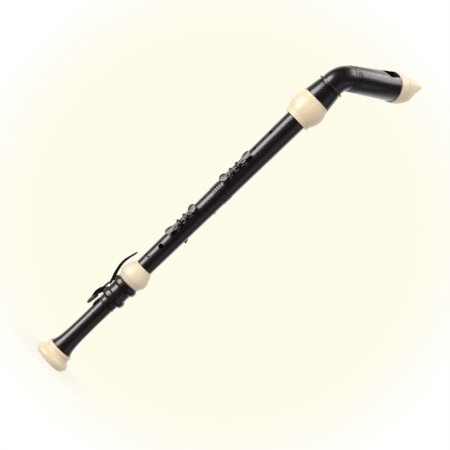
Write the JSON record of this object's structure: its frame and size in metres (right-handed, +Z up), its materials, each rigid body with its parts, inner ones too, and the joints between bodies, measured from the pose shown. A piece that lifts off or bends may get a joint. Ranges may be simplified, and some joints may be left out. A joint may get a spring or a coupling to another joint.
{
  "type": "bass recorder",
  "caption": "Bass recorder with bent neck, beaked head, see-saw keys over its lowest holes, and ivory-coloured rings and beak on a dark tube.",
  "frame": {"origin": "centre of the bell's standing face, on the axis of the bore", "axes": "+Z up along the bore from the bell to the neck; -Y is the front with the finger holes; the head leans back towards +Y; +X is on the left of someone who looks at the front"},
  "size_m": [0.0674, 0.2053, 0.8227],
  "materials": {
    "ivory_plastic": "glossy ivory-coloured resin",
    "body_plastic": "dark brown-black resin, satin gloss",
    "key_plastic": "black resin, polished",
    "cork": "fine-grained cork, waxed",
    "pad_skin": "pale pad skin, matte",
    "spring_steel": "blued flat spring steel",
    "pin_steel": "turned steel"
  },
  "bodies": {
    "middle": {"middle_joint": "body_plastic", "lower_tenon_cork": "cork", "upper_tenon_cork": "cork", "thumb_rest": "key_plastic", "strap_eye": "pin_steel", "upper_key_saddle": "key_plastic", "lower_key_saddle": "key_plastic", "upper_touch_pin": "pin_steel", "upper_pad_pin": "pin_steel", "lower_touch_pin": "pin_steel", "lower_pad_pin": "pin_steel", "upper_touch_spring": "spring_steel", "upper_pad_spring": "spring_steel", "lower_touch_spring": "spring_steel", "lower_pad_spring": "spring_steel"},
    "upper_touch": {"upper_touch_lever": "key_plastic"},
    "upper_closer": {"upper_pad_lever": "key_plastic", "upper_pad": "pad_skin"},
    "lower_touch": {"lower_touch_lever": "key_plastic"},
    "lower_closer": {"lower_pad_lever": "key_plastic", "lower_pad": "pad_skin"},
    "foot": {"foot_joint": "body_plastic", "foot_socket_ring": "ivory_plastic", "bell_ring": "ivory_plastic", "foot_touch_pin": "pin_steel", "foot_pad_pin": "pin_steel", "foot_pad_spring": "spring_steel"},
    "foot_touch": {"foot_touch_lever": "key_plastic"},
    "foot_closer": {"foot_pad_lever": "key_plastic", "foot_pad": "pad_skin"},
    "head_socket": {"head_sleeve": "body_plastic", "head_socket_ring": "ivory_plastic"},
    "neck": {"neck_elbow": "body_plastic", "neck_tenon_cork": "cork", "head_tenon_cork": "cork"},
    "head": {"head_barrel": "body_plastic", "fipple_block": "body_plastic", "beak_cap": "ivory_plastic"}
  },
  "joints": [
    {"name": "head_turn", "type": "hinge", "parent": "middle", "child": "head_socket", "pos_m": [0, 0, 0.66], "axis": [0, 0, 1], "range_deg": [-90, 90]},
    {"name": "neck_pull", "type": "slide", "parent": "head_socket", "child": "neck", "axis": [0, 0, 1], "range_m": [0, 0.012]},
    {"name": "barrel_turn", "type": "hinge", "parent": "neck", "child": "head", "pos_m": [0, 0, 0.718], "axis": [0, 0.887, 0.4617], "range_deg": [-90, 90]},
    {"name": "foot_turn", "type": "hinge", "parent": "middle", "child": "foot", "pos_m": [0, 0, 0.2], "axis": [0, 0, 1], "range_deg": [-90, 90]},
    {"name": "upper_touch_press", "type": "hinge", "parent": "middle", "child": "upper_touch", "pos_m": [0.00131, -0.02506, 0.4817], "axis": [0.9986, 0.0523, 0], "range_deg": [-10.02, 0], "stiffness_Nm_per_rad": 0.02, "springref_deg": 20.05, "deforming": ["upper_touch_spring"]},
    {"name": "upper_pad_close", "type": "hinge", "parent": "middle", "child": "upper_closer", "pos_m": [0.00131, -0.02506, 0.4669], "axis": [0.9986, 0.0523, 0], "range_deg": [0, 10.02], "stiffness_Nm_per_rad": 0.02, "springref_deg": -20.05, "deforming": ["upper_pad_spring"]},
    {"name": "lower_touch_press", "type": "hinge", "parent": "middle", "child": "lower_touch", "pos_m": [0.00125, -0.02382, 0.3377], "axis": [-0.9986, -0.0523, 0], "range_deg": [-10.02, 0], "stiffness_Nm_per_rad": 0.02, "springref_deg": 20.05, "deforming": ["lower_touch_spring"]},
    {"name": "lower_pad_close", "type": "hinge", "parent": "middle", "child": "lower_closer", "pos_m": [0.00125, -0.02382, 0.3525], "axis": [-0.9986, -0.0523, 0], "range_deg": [0, 10.02], "stiffness_Nm_per_rad": 0.02, "springref_deg": -20.05, "deforming": ["lower_pad_spring"]},
    {"name": "foot_touch_press", "type": "hinge", "parent": "foot", "child": "foot_touch", "pos_m": [-0.01499, -0.01499, 0.1893], "axis": [0.7071, -0.7071, 0], "range_deg": [-6.43, 0]},
    {"name": "foot_pad_close", "type": "hinge", "parent": "foot", "child": "foot_closer", "pos_m": [-0.01499, -0.01499, 0.1607], "axis": [0.7071, -0.7071, 0], "range_deg": [0, 7.95], "stiffness_Nm_per_rad": 0.02, "springref_deg": -20.05, "deforming": ["foot_pad_spring"]}
  ],
  "couplings": [
    {"joint": "upper_pad_close", "follows": "upper_touch_press", "ratio": -1},
    {"joint": "lower_pad_close", "follows": "lower_touch_press", "ratio": -1},
    {"joint": "foot_pad_close", "follows": "foot_touch_press", "ratio": -1.2357}
  ]
}
